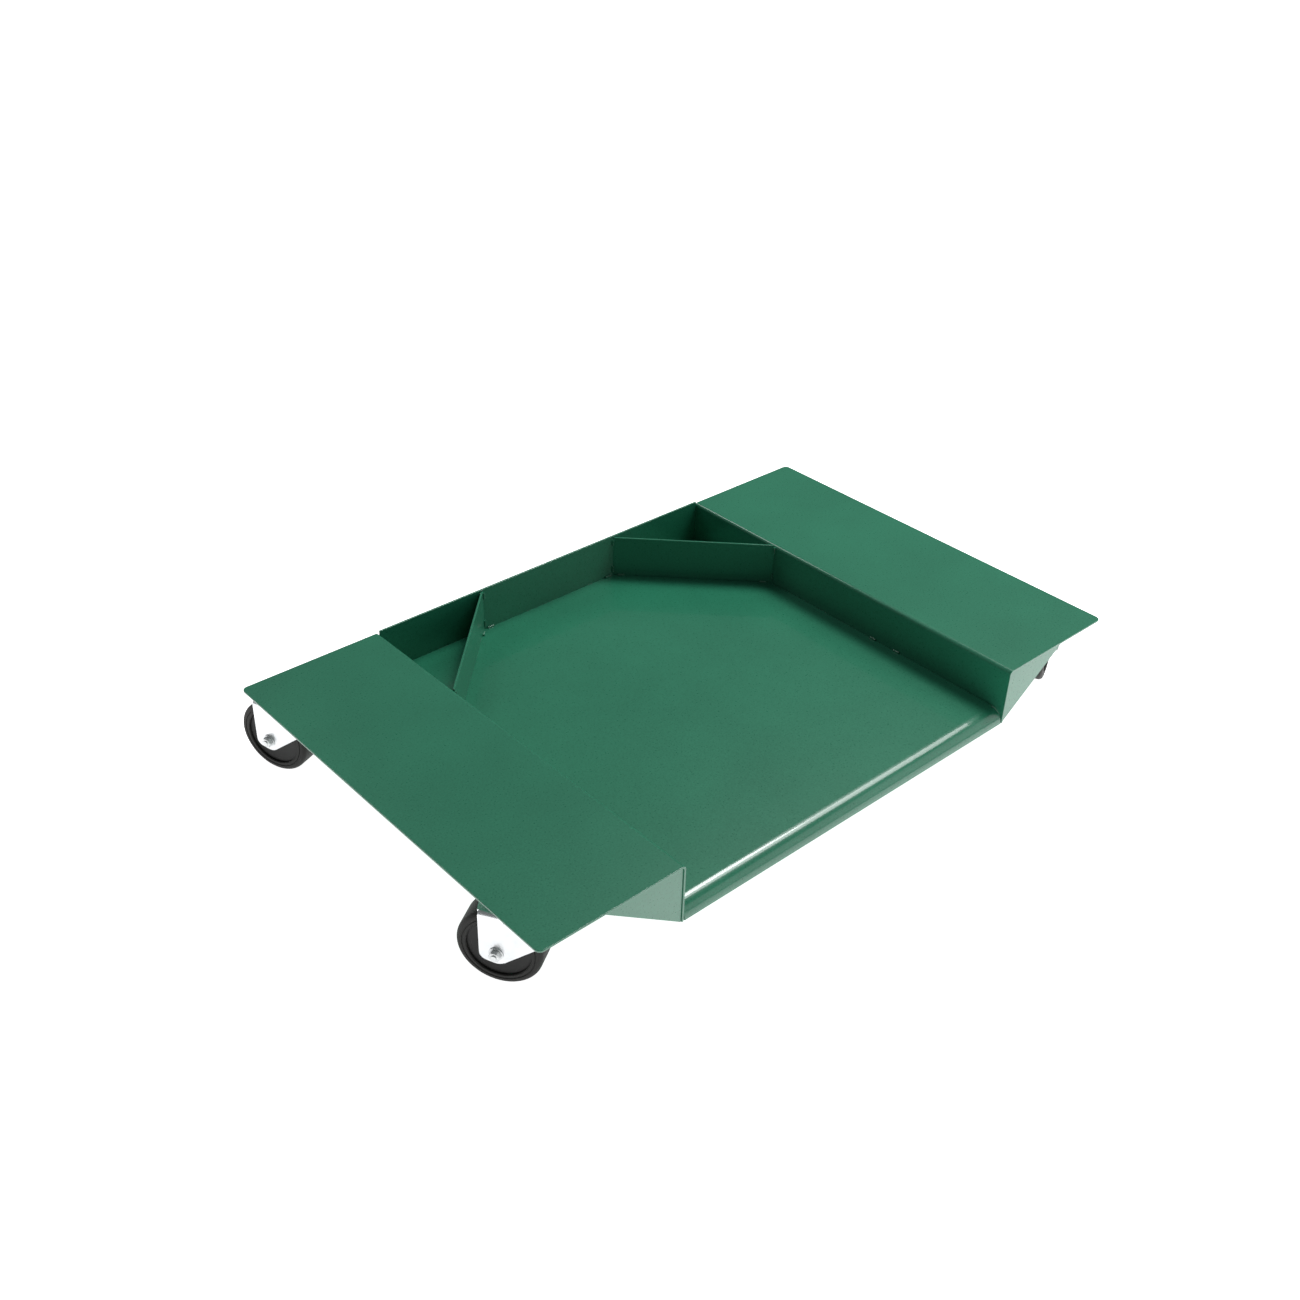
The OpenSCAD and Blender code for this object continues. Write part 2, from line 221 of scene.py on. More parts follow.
# %% Zinc and steel
def zinc(name, light, dark, roughness):
    """Bright zinc plate with faint cloudy passivation and a fine grain."""
    material, plan, shader, place = new_finish(name, Metallic=0.92)
    cloud = noise(plan, place, 55.0, 3.0, 0.55)
    grain = noise(plan, place, 900.0)
    feed(plan.tree, shader.inputs["Base Color"], blend(plan, cloud * 1.6 - 0.3, dark, light))
    feed(plan.tree, shader.inputs["Roughness"], roughness + 0.12 * cloud + 0.06 * grain)
    feed(plan.tree, shader.inputs["Normal"], relief(plan, grain * (0.02 * MM), 0.5))
    return material


plate_zinc = zinc("plate_zinc", (0.90, 0.91, 0.92, 1.0), (0.74, 0.76, 0.78, 1.0), 0.26)
bolt_zinc = zinc("bolt_zinc", (0.82, 0.83, 0.83, 1.0), (0.62, 0.64, 0.65, 1.0), 0.34)
ball_steel = zinc("ball_steel", (0.72, 0.73, 0.75, 1.0), (0.64, 0.65, 0.67, 1.0), 0.06)
print("metals:", plate_zinc.name, bolt_zinc.name, ball_steel.name)

# %% Rubber
def moulded(name, light, dark, roughness, grain_scale, grain_depth):
    """A matt moulded skin with a faint bloom."""
    material, plan, shader, place = new_finish(name, Specular_IOR_Level=0.3)
    bloom = noise(plan, place, 35.0, 4.0, 0.6)
    grain = noise(plan, place, grain_scale)
    feed(plan.tree, shader.inputs["Base Color"], blend(plan, bloom * 1.4 - 0.2, dark, light))
    feed(plan.tree, shader.inputs["Roughness"], roughness + 0.15 * bloom)
    feed(plan.tree, shader.inputs["Normal"], relief(plan, grain * grain_depth, 0.6))
    return material


tyre_rubber = moulded(
    "tyre_rubber", (0.020, 0.020, 0.018, 1.0), (0.008, 0.008, 0.007, 1.0), 0.5, 700.0, 0.06 * MM
)
core_rubber = moulded(
    "core_rubber", (0.018, 0.018, 0.017, 1.0), (0.008, 0.008, 0.008, 1.0), 0.45, 500.0, 0.04 * MM
)
print("wheel finishes:", tyre_rubber.name, core_rubber.name)

# %% [markdown]
# ## Handing a piece over
# A finished piece takes a material and a slot, rides on a body and hides the node it stands
# for. One function does all of that, so no later cell can forget a part of it. Smooth shading
# that keeps edges above a set angle sharp suits pressed and folded metal.

# %% Placing a finished piece
placed = []


def hand_over(piece, node, material):
    """Gives the piece its finish and lets it stand for one node of the frame."""
    piece.data.materials.clear()
    piece.data.materials.append(material)
    for face in piece.data.polygons:
        face.material_index = 0
    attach(piece, nodes[node]["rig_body"])
    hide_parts(node)
    placed.append(piece.name)


def new_piece(name, mesh):
    """An object in the scene for a mesh."""
    piece = bpy.data.objects.new(name, mesh)
    bpy.context.scene.collection.objects.link(piece)
    return piece


def shade_by_angle(mesh, angle):
    """Smooth faces, with sharp edges where the surface turns by more than the angle."""
    mesh.shade_smooth()
    mesh.set_sharp_from_angle(angle=math.radians(angle))


print("hand-over ready")

# %% [markdown]
# ## Sheet metal with soft edges
# Sheared and folded steel has no razor edges: paint and tumbling round them by a few tenths of
# a millimetre, and that thin round catches the light along every rim. Modelling it by hand on
# each plate would be slow. Instead a copy of the node's mesh is merged into clean faces, and a
# Bevel modifier rounds only the edges that turn sharply, so folds keep their true radius.

# %% Softened copies
MERGE_GAP = 0.01 * MM
FLAT_ANGLE = math.radians(0.5)
EDGE_ANGLE = math.radians(35)


def clean_copy(node, name):
    """A copy of a node's mesh with its loose triangles merged into flat faces."""
    mesh = nodes[node].data.copy()
    mesh.name = name
    body = bmesh.new()
    body.from_mesh(mesh)
    bmesh.ops.remove_doubles(body, verts=body.verts, dist=MERGE_GAP)
    bmesh.ops.dissolve_limit(
        body, angle_limit=FLAT_ANGLE, verts=body.verts, edges=body.edges
    )
    body.to_mesh(mesh)
    body.free()
    return mesh


def softened(node, name, width, material):
    """The node's shape with rounded edges, as a new piece."""
    mesh = clean_copy(node, name)
    mesh.shade_smooth()
    piece = new_piece(name, mesh)
    bevel = piece.modifiers.new("edges", "BEVEL")
    bevel.width = width
    bevel.segments = 2
    bevel.limit_method = "ANGLE"
    bevel.angle_limit = EDGE_ANGLE
    weights = piece.modifiers.new("normals", "WEIGHTED_NORMAL")
    weights.keep_sharp = True
    hand_over(piece, node, material)


# %% The tray's plates
PLATES = ["floor_pan", "back_wall"] + [f"{side}_deck" for side in SIDES]
PLATES += [f"{side}_gusset" for side in SIDES] + [f"{corner}_web" for corner in CORNERS]
for plate in PLATES:
    softened(plate, plate + "_sheet", 0.6 * MM, green_enamel)
print("plates:", len(PLATES))

# %% [markdown]
# ## Weld beads that follow the joints
# Each plate is held by fillet welds. A welder's hand leaves a row of overlapping ripples, and
# such a row along a path is work for Geometry Nodes. The tree resamples each path, lets the
# bead's radius swell and fall with the distance along it, adds a little wander, and sweeps a
# round section along it. The paths run just off the corner so that the bead sinks into both
# plates. One tree serves all welds; only the paths and the leg length change.

# %% The bead tree
def tree_with(name, sizes):
    """A Geometry Nodes tree with a geometry input and named float inputs."""
    tree = bpy.data.node_groups.new(name, "GeometryNodeTree")
    tree.interface.new_socket("Geometry", in_out="INPUT", socket_type="NodeSocketGeometry")
    for size, value in sizes.items():
        socket = tree.interface.new_socket(size, in_out="INPUT", socket_type="NodeSocketFloat")
        socket.default_value = value
    tree.interface.new_socket("Geometry", in_out="OUTPUT", socket_type="NodeSocketGeometry")
    entry = tree.nodes.new("NodeGroupInput")
    return tree, Plan(tree), {socket.name: Wire(tree, socket) for socket in entry.outputs}


def close_tree(plan, shape, material):
    """Ends a tree with Realize Instances and Set Material."""
    solid = plan.node("GeometryNodeRealizeInstances", {}, {0: shape})
    painted = plan.node("GeometryNodeSetMaterial", {}, {"Geometry": solid, "Material": material})
    end = plan.tree.nodes.new("NodeGroupOutput")
    feed(plan.tree, end.inputs[0], painted)


def bake_tree(name, source, tree, sizes):
    """Runs the tree on a mesh and returns the result as a plain mesh."""
    holder = new_piece(name + "_holder", source)
    modifier = holder.modifiers.new("nodes", "NODES")
    modifier.node_group = tree
    for item in tree.interface.items_tree:
        if item.in_out == "INPUT" and item.name in sizes:
            modifier[item.identifier] = sizes[item.name]
    graph = bpy.context.evaluated_depsgraph_get()
    mesh = bpy.data.meshes.new_from_object(holder.evaluated_get(graph))
    mesh.name = name
    bpy.data.objects.remove(holder)
    return mesh


bead_tree, plan, size = tree_with("weld_bead", {"Radius": 0.003, "Pitch": 0.0024, "Step": 0.0005})
line = plan.node("GeometryNodeMeshToCurve", {}, {0: size["Geometry"]})
steps = {"Curve": line, "Length": size["Step"]}
fine = plan.node("GeometryNodeResampleCurve", {"mode": "LENGTH"}, steps)
along = plan.node("GeometryNodeSplineParameter", out="Length")
phase = along.maths("FRACT", along / size["Pitch"])
ripple = 1.0 - 0.16 * (phase ** 2.0)
spot = plan.node("GeometryNodeInputPosition")
drift = plan.node("ShaderNodeTexNoise", {}, {"Vector": spot, "Scale": 60.0, "Detail": 1.0})
swell = size["Radius"] * ripple * (0.9 + 0.16 * drift)
section = plan.node("GeometryNodeCurvePrimitiveCircle", {}, {"Resolution": 12, "Radius": 1.0})
sweep = {"Curve": fine, "Profile Curve": section, "Scale": swell, "Fill Caps": True}
swept = plan.node("GeometryNodeCurveToMesh", {}, sweep)
close_tree(plan, swept, weld_enamel)
print("bead tree nodes:", len(bead_tree.nodes))

# %% [markdown]
# The tray is tacked, not seamed: short beads at the ends of the back wall and of each gusset,
# two on each side wall, and longer runs only out of sight under the decks. The paths are worked
# out from the plates' own boxes. A bead's centre lies a little off the corner line, away from
# both plates, and its radius reaches back into them. Both are shares of the weld's leg.

# %% Where the welds run
LEG = 3.0 * MM
OFFSET = 0.26
REACH = 0.72
floor_low, floor_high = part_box("floor_pan")
back_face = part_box("back_wall")[0].y
gusset_low, gusset_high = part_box("right_gusset")
bay_mid = (floor_low.x + floor_high.x) / 2
bay_half = (floor_high.x - floor_low.x) / 2
gusset_leg = gusset_high.x - gusset_low.x
bay_floor = floor_high.z
TACK_LENGTH = 10.0 * MM
TACK_STARTS = (190.0 * MM, 236.0 * MM)
off = OFFSET * LEG


def bay_paths():
    """Tacks along the back wall, the gussets and the side walls, and up the gussets' ends."""
    low = bay_floor + off
    back = back_face
    inner = bay_half - gusset_leg - 2 * LEG
    slant = math.sqrt(0.5)
    paths = []
    for side in (-1, 1):
        def at(x, y, z):
            return (bay_mid + side * x, y, z)
        paths.append([at(inner - TACK_LENGTH, back - off, low), at(inner, back - off, low)])
        start = Vector((bay_half, back - gusset_leg))
        end = Vector((bay_half - gusset_leg, back))
        inward = Vector((-slant, -slant)) * off
        along = (end - start).normalized()
        first = start + along * 3 * LEG + inward
        last = end - along * 3 * LEG + inward
        for a, b in ((first, first + along * TACK_LENGTH), (last - along * TACK_LENGTH, last)):
            paths.append([at(a.x, a.y, low), at(b.x, b.y, low)])
        for corner, degrees in ((start, 202.5), (end, 247.5)):
            angle = math.radians(degrees)
            c = corner + Vector((math.cos(angle), math.sin(angle))) * off
            for z in (bay_floor + 2 * LEG, gusset_high.z - LEG - TACK_LENGTH):
                paths.append([at(c.x, c.y, z), at(c.x, c.y, z + TACK_LENGTH)])
        for tack_start in TACK_STARTS:
            y = floor_low.y + tack_start
            paths.append([at(bay_half - off, y, low), at(bay_half - off, y + TACK_LENGTH, low)])
    return paths


def web_paths():
    """Runs behind each web, under the deck and down the wall."""
    paths = []
    for corner in CORNERS:
        low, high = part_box(corner + "_web")
        outward = 1 if "right" in corner else -1
        wall = low.x if outward > 0 else high.x
        tip = high.x if outward > 0 else low.x
        rear = "rear" in corner
        y = low.y - off if rear else high.y + off
        z = high.z - off
        paths.append([(wall + outward * 9 * MM, y, z), (tip - outward * 20 * MM, y, z)])
        x = wall + outward * off
        paths.append([(x, y, low.z + 12 * MM), (x, y, high.z - 9 * MM)])
    return paths


def plate_paths():
    """Runs along the short edges of each caster's plate."""
    paths = []
    for corner in CORNERS:
        low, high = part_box(corner + "_top_plate")
        for x in (low.x - off, high.x + off):
            paths.append([(x, low.y + 8 * MM, high.z - off), (x, high.y - 8 * MM, high.z - off)])
    return paths


print("weld runs:", len(bay_paths()), len(web_paths()), len(plate_paths()))

# %% Sweep the beads
def path_mesh(name, paths):
    """A mesh of loose edges, one chain for each path."""
    mesh = bpy.data.meshes.new(name)
    points = [point for path in paths for point in path]
    edges = [(2 * i, 2 * i + 1) for i in range(len(paths))]
    mesh.from_pydata(points, edges, [])
    return mesh


BEAD = {"Radius": REACH * LEG, "Pitch": 0.6 * LEG, "Step": 0.125 * LEG}
for node, paths in (
    ("bay_welds", bay_paths()),
    ("web_welds", web_paths()),
    ("caster_welds", plate_paths()),
):
    mesh = bake_tree(node + "_beads", path_mesh(node + "_paths", paths), bead_tree, BEAD)
    mesh.shade_smooth()
    piece = new_piece(node + "_beads", mesh)
    hand_over(piece, node, weld_enamel)
    print(node, "faces:", len(mesh.polygons))

# %% [markdown]
# ## Casters
# Each caster has a plate, a kingpin with its race and nut, a pressed fork and a wheel. All four
# are the same thing turned to different angles, so each piece is made once in the caster's own
# space: the swivel axis stands on Z, the wheel trails towards +X and the ground is at zero. A
# matrix from the two joints then takes a copy to each corner.

# %% The four seats
def seat_of(corner):
    """Matrix from a caster's own space to its corner, and its trail."""
    swivel = Vector(joints[corner + "_swivel_turn"]["pos_m"])
    axle = Vector(joints[corner + "_wheel_spin"]["pos_m"])
    reach = Vector((axle.x - swivel.x, axle.y - swivel.y, 0.0))
    turn = math.atan2(reach.y, reach.x)
    seat = Matrix.Translation((swivel.x, swivel.y, 0.0)) @ Matrix.Rotation(turn, 4, "Z")
    return seat, reach.length, axle.z


seats = {corner: seat_of(corner) for corner in CORNERS}
trail = seats["front_left"][1]
axle_z = seats["front_left"][2]
for corner, (seat, reach, height) in seats.items():
    print(corner, "trail", round(reach, 4), "axle height", round(height, 4))


def fit_to_corners(mesh, part, name, material):
    """A copy of the mesh at every corner, each standing for that corner's node."""
    for corner in CORNERS:
        copy = mesh.copy()
        copy.transform(seats[corner][0])
        piece = new_piece(f"{corner}_{name}", copy)
        hand_over(piece, f"{corner}_{part}", material)
    print(name, "faces:", len(mesh.polygons))


# %% [markdown]
# ### Pressed plates and fork
# The plate, the race and the fork keep their measured shapes: bends, slots and bores are already
# there. As with the tray, only their sheared edges need rounding.

# %% Plates, races and forks
for corner in CORNERS:
    softened(f"{corner}_top_plate", f"{corner}_plate", 0.5 * MM, plate_zinc)
    softened(f"{corner}_lower_race", f"{corner}_race", 0.5 * MM, plate_zinc)
    softened(f"{corner}_fork", f"{corner}_pressed_fork", 0.6 * MM, plate_zinc)
    softened(f"{corner}_kingpin", f"{corner}_pin", 0.4 * MM, bolt_zinc)
    softened(f"{corner}_axle_sleeve", f"{corner}_sleeve", 0.3 * MM, bolt_zinc)
print("pressed pieces:", 5 * len(CORNERS))

# %% [markdown]
# ### Turned shapes
# Tyres, rims and washers are turned about the axle. A closed section swept round an axis is a
# rule that a few lines of mesh code follow exactly, with the seam joined and no pole to close.

# %% A lathe for closed sections
def turned(name, section, steps):
    """A ring: each (radius, along) point of a closed section goes round the Y axis."""
    mesh = bpy.data.meshes.new(name)
    points = []
    for i in range(steps):
        angle = 2 * math.pi * i / steps
        for radius, along in section:
            points.append((radius * math.cos(angle), along, radius * math.sin(angle)))
    count = len(section)
    faces = []
    for i in range(steps):
        here = i * count
        there = ((i + 1) % steps) * count
        for j in range(count):
            k = (j + 1) % count
            faces.append((here + j, here + k, there + k, there + j))
    mesh.from_pydata(points, [], faces)
    tidy_normals(mesh)
    return mesh


def tidy_normals(mesh):
    """Turns all faces outwards."""
    body = bmesh.new()
    body.from_mesh(mesh)
    bmesh.ops.recalc_face_normals(body, faces=body.faces)
    body.to_mesh(mesh)
    body.free()


def arc(centre, radius, start, end, steps):
    """Points of a round, as (radius, along) pairs, with angles in degrees."""
    points = []
    for i in range(steps + 1):
        angle = math.radians(start + (end - start) * i / steps)
        points.append((centre[0] + radius * math.cos(angle), centre[1] + radius * math.sin(angle)))
    return points


print("lathe ready")

# %% [markdown]
# ### Tyres
# The tyre is solid black rubber with a flat tread, full round shoulders and a shallow ring
# pressed into each side just outside the core. The ring has to be real geometry, because its
# dark line shows on the wheels from every side.

# %% Four tyres
TREAD = axle_z
TYRE_HALF = 21.0 * MM
SHOULDER = 6.0 * MM
RIM = 40.0 * MM
RING_IN = 44.0 * MM
RING_OUT = 45.6 * MM
RING_DEPTH = 0.8 * MM


def tyre_section():
    """Half of the section on the +Y side, then its mirror image in reverse."""
    round_mid = (TREAD - SHOULDER, TYRE_HALF - SHOULDER)
    half = [(RIM, 0.0), (RIM, TYRE_HALF - 1.0 * MM), (RIM + 1.0 * MM, TYRE_HALF)]
    half += [(RING_IN, TYRE_HALF), (RING_IN + 0.4 * MM, TYRE_HALF - RING_DEPTH)]
    half += [(RING_OUT - 0.4 * MM, TYRE_HALF - RING_DEPTH), (RING_OUT, TYRE_HALF)]
    half += arc(round_mid, SHOULDER, 90, 0, 10)
    other = [(radius, -along) for radius, along in reversed(half[1:])]
    return half + other


tyre = turned("tyre_ring", tyre_section(), 96)
shade_by_angle(tyre, 30)
tyre.transform(Matrix.Translation((trail, 0.0, axle_z)))
fit_to_corners(tyre, "tyre", "tyre_ring", tyre_rubber)

# %% [markdown]
# ### Wheel cores
# The core is one hard moulding under the tyre, with nearly flat sides, a shallow dish and a hub
# that stands a little proud to meet the fork. It is another closed section for the lathe.

# %% Four cores
HUB = 11.0 * MM
HUB_HALF = 24.0 * MM
BORE = 6.06 * MM
FACE_HALF = 18.0 * MM
DISH = 1.5 * MM
EASE = 0.8 * MM


def core_section():
    """The hub, dish and rim as one closed section."""
    half = [(BORE, 0.0), (BORE, HUB_HALF), (HUB - EASE, HUB_HALF), (HUB, HUB_HALF - EASE)]
    half += [(HUB + EASE, FACE_HALF), (HUB + 4 * EASE, FACE_HALF - 0.6 * DISH)]
    half += [(22.0 * MM, FACE_HALF - DISH), (30.0 * MM, FACE_HALF - 0.7 * DISH)]
    half += [(RIM - 2 * EASE, FACE_HALF), (RIM, FACE_HALF - 0.3 * EASE), (RIM, 0.0)]
    other = [(radius, -along) for radius, along in reversed(half[1:-1])]
    return half + other


core = turned("core_moulding", core_section(), 96)
shade_by_angle(core, 35)
core.transform(Matrix.Translation((trail, 0.0, axle_z)))
fit_to_corners(core, "wheel_core", "core_moulding", core_rubber)

# %% [markdown]
# ### Ball rings
# Between the plate and the fork runs a ring of bearing balls, and a second one below. Equal
# balls on a circle are the plainest use of instances: one ball, one circle, one tree.

# %% Balls
BALL_RINGS = (
    {"Count": 18.0, "Ring": 22.0 * MM, "Ball": 2.75 * MM},
    {"Count": 12.0, "Ring": 13.0 * MM, "Ball": 2.5 * MM},
)
ball_tree, plan, size = tree_with("ball_ring", {"Count": 18.0, "Ring": 0.022, "Ball": 0.00275})
count = plan.node("FunctionNodeFloatToInt", {}, {0: size["Count"]})
circle = plan.node("GeometryNodeMeshCircle", {}, {"Vertices": count, "Radius": size["Ring"]})
shape = {"Segments": 24, "Rings": 16, "Radius": size["Ball"]}
ball = plan.node("GeometryNodeMeshUVSphere", {}, shape)
balls = plan.node("GeometryNodeInstanceOnPoints", {}, {"Points": circle, "Instance": ball})
close_tree(plan, balls, ball_steel)

ball_low, ball_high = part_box("front_left_race_balls")
heights = (ball_high.z - BALL_RINGS[0]["Ball"], ball_low.z + BALL_RINGS[1]["Ball"])
both = bmesh.new()
for sizes, height in zip(BALL_RINGS, heights):
    part = bake_tree("ball_part", bpy.data.meshes.new("ball_seed"), ball_tree, sizes)
    part.transform(Matrix.Translation((0.0, 0.0, height)))
    both.from_mesh(part)
ball_rings = bpy.data.meshes.new("ball_rings")
both.to_mesh(ball_rings)
both.free()
ball_rings.shade_smooth()
fit_to_corners(ball_rings, "race_balls", "ball_rings", ball_steel)

# %% [markdown]
# ### Nuts and bolts
# A real nut is a hexagon whose corners a cone has cut away at both faces. Ring by ring, its
# radius is the smaller of the hexagon's and the cone's, and that rule gives the curved facets
# that a plain six-sided prism lacks. The bolt's free end has a thread of fine ridges.

# %% A nut from its rule
def hexagon(flats, angle):
    """Distance from the middle of a hexagon to its edge in one direction."""
    return flats / 2 / math.cos((angle % (math.pi / 3)) - math.pi / 6)


def nut_rings(flats, thick, chamfer):
    """(height, largest radius) for each ring of a nut's outside."""
    tall = flats / math.sqrt(3)
    face = 0.475 * flats
    return [(0.0, face), (chamfer, tall), (thick - chamfer, tall), (thick, face)]


def ring_row(body, height, steps, radius_at):
    """New vertices of one ring about Y, with a radius that may change with the angle."""
    row = []
    for i in range(steps):
        angle = 2 * math.pi * i / steps
        radius = radius_at(angle)
        row.append(body.verts.new((radius * math.cos(angle), height, radius * math.sin(angle))))
    return row


def hex_body(name, rings, flats, bore, steps=72):
    """A hexagonal body along +Y, with a bore, or closed where the bore is zero."""
    body = bmesh.new()
    outside = [
        ring_row(body, height, steps, lambda angle: min(hexagon(flats, angle), limit))
        for height, limit in rings
    ]
    inside = []
    if bore > 0:
        ends = (rings[0][0], rings[-1][0])
        inside = [ring_row(body, height, steps, lambda angle: bore) for height in ends]
    rows = outside + inside[::-1]
    pairs = list(zip(rows, rows[1:]))
    if bore > 0:
        pairs.append((rows[-1], rows[0]))
    for one, two in pairs:
        for i in range(steps):
            k = (i + 1) % steps
            body.faces.new((one[i], one[k], two[k], two[i]))
    if bore <= 0:
        body.faces.new(outside[0])
        body.faces.new(outside[-1])
    bmesh.ops.recalc_face_normals(body, faces=body.faces)
    mesh = bpy.data.meshes.new(name)
    body.to_mesh(mesh)
    body.free()
    return mesh


def joined_mesh(name, *meshes):
    """One mesh from several."""
    body = bmesh.new()
    for mesh in meshes:
        body.from_mesh(mesh)
    whole = bpy.data.meshes.new(name)
    body.to_mesh(whole)
    body.free()
    return whole


# %% Axle bolts, axle nuts and kingpin nuts
AXLE = 4.0 * MM
FORK_HALF = 28.0 * MM
HEAD = 5.3 * MM
PAST = 9.0 * MM
WASHER = 1.6 * MM
THREAD = 1.25 * MM
AXLE_FLATS = 13.0 * MM
KINGPIN_FLATS = 19.0 * MM
NUT = 6.0 * MM
CHAMFER = 0.9 * MM
AXLE_BORE = AXLE + 0.05 * MM
WASHER_R = 9.0 * MM
WASHER_EASE = 0.3 * MM
NEAR_AXIS = 0.1 * MM
CREST_DEPTH = 0.5 * MM
to_axle = Matrix.Translation((trail, 0.0, axle_z))


def bolt_section():
    """The shank, plain up to the nut and ridged past it, as (radius, along)."""
    points = [(NEAR_AXIS, -FORK_HALF), (AXLE, -FORK_HALF), (AXLE, FORK_HALF)]
    end = FORK_HALF + PAST
    along = FORK_HALF + WASHER + NUT
    while along + THREAD / 2 < end - 0.4 * MM:
        points.append((AXLE, along))
        points.append((AXLE - CREST_DEPTH, along + THREAD / 2))
        along += THREAD
    points += [(AXLE - 0.6 * MM, end), (NEAR_AXIS, end)]
    return points


head = hex_body("bolt_head", nut_rings(AXLE_FLATS, HEAD, CHAMFER), AXLE_FLATS, 0.0)
head.transform(Matrix.Translation((0.0, -FORK_HALF - HEAD, 0.0)))
bolt = joined_mesh("axle_bolt_turned", head, turned("shank", bolt_section(), 48))
bolt.transform(to_axle)
shade_by_angle(bolt, 25)
fit_to_corners(bolt, "axle_bolt", "threaded_axle", bolt_zinc)

washer_section = [
    (AXLE_BORE, 0.0), (WASHER_R - WASHER_EASE, 0.0), (WASHER_R, WASHER_EASE),
    (WASHER_R, WASHER - WASHER_EASE), (WASHER_R - WASHER_EASE, WASHER), (AXLE_BORE, WASHER),
]
nut = hex_body("nut", nut_rings(AXLE_FLATS, NUT, CHAMFER), AXLE_FLATS, AXLE_BORE)
nut.transform(Matrix.Translation((0.0, WASHER, 0.0)))
nut_and_washer = joined_mesh("nut_and_washer", turned("washer", washer_section, 64), nut)
nut_and_washer.transform(to_axle @ Matrix.Translation((0.0, FORK_HALF, 0.0)))
shade_by_angle(nut_and_washer, 25)
fit_to_corners(nut_and_washer, "axle_nut", "nut_and_washer", bolt_zinc)

nut_low, nut_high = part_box("front_left_kingpin_nut")
thick = nut_high.z - nut_low.z
big_rings = nut_rings(KINGPIN_FLATS, thick, 1.1 * MM)
big_nut = hex_body("big_nut", big_rings, KINGPIN_FLATS, 6.05 * MM)
upright = Matrix.Translation((0.0, 0.0, nut_high.z)) @ Matrix.Rotation(math.radians(-90), 4, "X")
big_nut.transform(upright)
shade_by_angle(big_nut, 25)
fit_to_corners(big_nut, "kingpin_nut", "locking_nut", bolt_zinc)
print("pieces placed:", len(placed), "of", len(nodes))

# %% [markdown]
# ## Studio
# The dolly stands on a seamless white floor that is as bright as the background, and a darker
# surround keeps the decks deep green. Four softboxes do the rest. The key stands high on the
# right, where no flat plate mirrors it towards the camera, and leaves the bay's inner walls in
# shade. The side box draws a line along the floor's rolled edge, the back box a faint one on
# the deck's fold, and the low front box lightens the lower half of the roll.

# %% Floor
FLOOR_SIZE = 30.0
floor_mesh = bpy.data.meshes.new("studio_floor")
half = FLOOR_SIZE / 2
floor_mesh.from_pydata(
    [(-half, -half, 0.0), (half, -half, 0.0), (half, half, 0.0), (-half, half, 0.0)],
    [], [(0, 1, 2, 3)],
)
studio_floor = new_piece("studio_floor", floor_mesh)
floor_white, plan, shader, place = new_finish(
    "floor_white", Base_Color=(0.9, 0.9, 0.9, 1.0), Roughness=0.9, Emission_Strength=1.0,
    Emission_Color=(1.0, 1.0, 1.0, 1.0), Specular_IOR_Level=0.0,
)
floor_mesh.materials.append(floor_white)
print("floor:", FLOOR_SIZE, "m")

# %% Surround and softboxes
world = bpy.data.worlds.new("studio_surround")
world.use_nodes = True
surround = world.node_tree.nodes["Background"]
surround.inputs["Color"].default_value = (0.96, 0.98, 1.0, 1.0)
surround.inputs["Strength"].default_value = 0.16
bpy.context.scene.world = world
bpy.context.scene.view_settings.view_transform = "Standard"
bpy.context.scene.view_settings.look = "None"


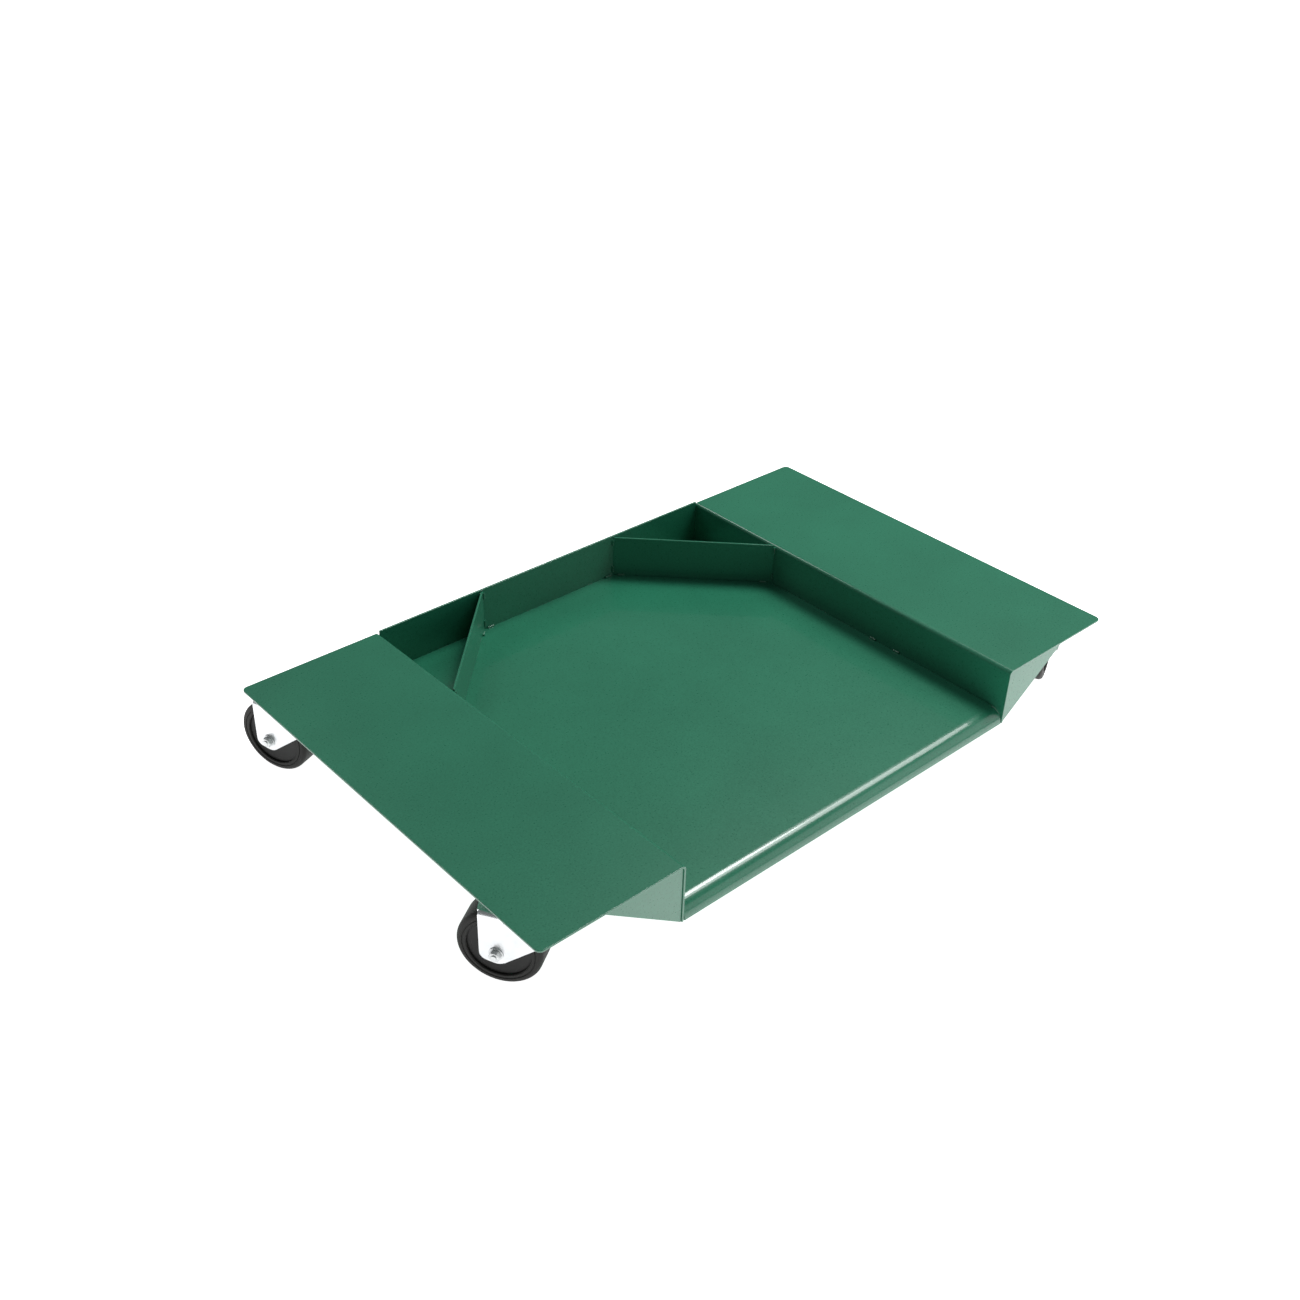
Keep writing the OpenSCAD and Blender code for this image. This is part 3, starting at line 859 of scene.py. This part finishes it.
def softbox(name, place, target, width, height, watts):
    """A rectangular soft light that faces a point."""
    data = bpy.data.lights.new(name, "AREA")
    data.shape = "RECTANGLE"
    data.size = width
    data.size_y = height
    data.energy = watts
    lamp = bpy.data.objects.new(name, data)
    bpy.context.scene.collection.objects.link(lamp)
    way = Vector(target) - Vector(place)
    turn = way.to_track_quat("-Z", "Y").to_matrix().to_4x4()
    lamp.matrix_world = Matrix.Translation(place) @ turn


MIDDLE = (0.0, 0.0, 0.1)
FRONT_EDGE = (0.0, -0.3, 0.1)
softbox("key_softbox", (1.55, 0.4, 3.3), MIDDLE, 1.1, 1.1, 68.0)
softbox("side_softbox", (1.9, -0.3, 2.7), MIDDLE, 1.3, 1.3, 40.0)
softbox("back_softbox", (-0.3, 2.1, 2.5), MIDDLE, 0.9, 0.9, 12.0)
softbox("front_softbox", (1.7, -1.9, 0.95), FRONT_EDGE, 2.6, 1.4, 11.0)
print("lights:", len(bpy.data.lights))

# %% [markdown]
# ## Camera
# The camera stands in front of the left corner and looks down on the bay at about 34 degrees.
# Its place is given from the middle of the tray, which the decks' boxes tell, and its turn from
# three angles, so it stays put if the frame's origin moves.

# %% Camera
YAW = math.radians(42.641)
PITCH = math.radians(33.726)
ROLL = math.radians(1.651)
LENS_MM = 41.227
SHIFT_X = 0.0017
SHIFT_Y = 0.0019
EYE_FROM_TRAY = Vector((-1.2115, -1.2260, 1.2800))
left_low, left_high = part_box("left_deck")
right_low, right_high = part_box("right_deck")
tray_mid = Vector(((left_low.x + right_high.x) / 2, (left_low.y + left_high.y) / 2, 0.0))
eye = tray_mid + EYE_FROM_TRAY
flat = math.cos(PITCH)
ahead = Vector((math.sin(YAW) * flat, math.cos(YAW) * flat, -math.sin(PITCH)))
level = Vector((math.cos(YAW), -math.sin(YAW), 0.0))
above = level.cross(ahead)
right = level * math.cos(ROLL) + above * math.sin(ROLL)
up = above * math.cos(ROLL) - level * math.sin(ROLL)
turn = Matrix((right, up, -ahead)).transposed().to_4x4()
camera_data = bpy.data.cameras.new("studio_camera")
camera_data.lens = LENS_MM
camera_data.sensor_width = 36.0
camera_data.shift_x = SHIFT_X
camera_data.shift_y = SHIFT_Y
camera = bpy.data.objects.new("studio_camera", camera_data)
bpy.context.scene.collection.objects.link(camera)
camera.matrix_world = Matrix.Translation(eye) @ turn
bpy.context.scene.camera = camera
print("camera at", [round(value, 3) for value in eye])
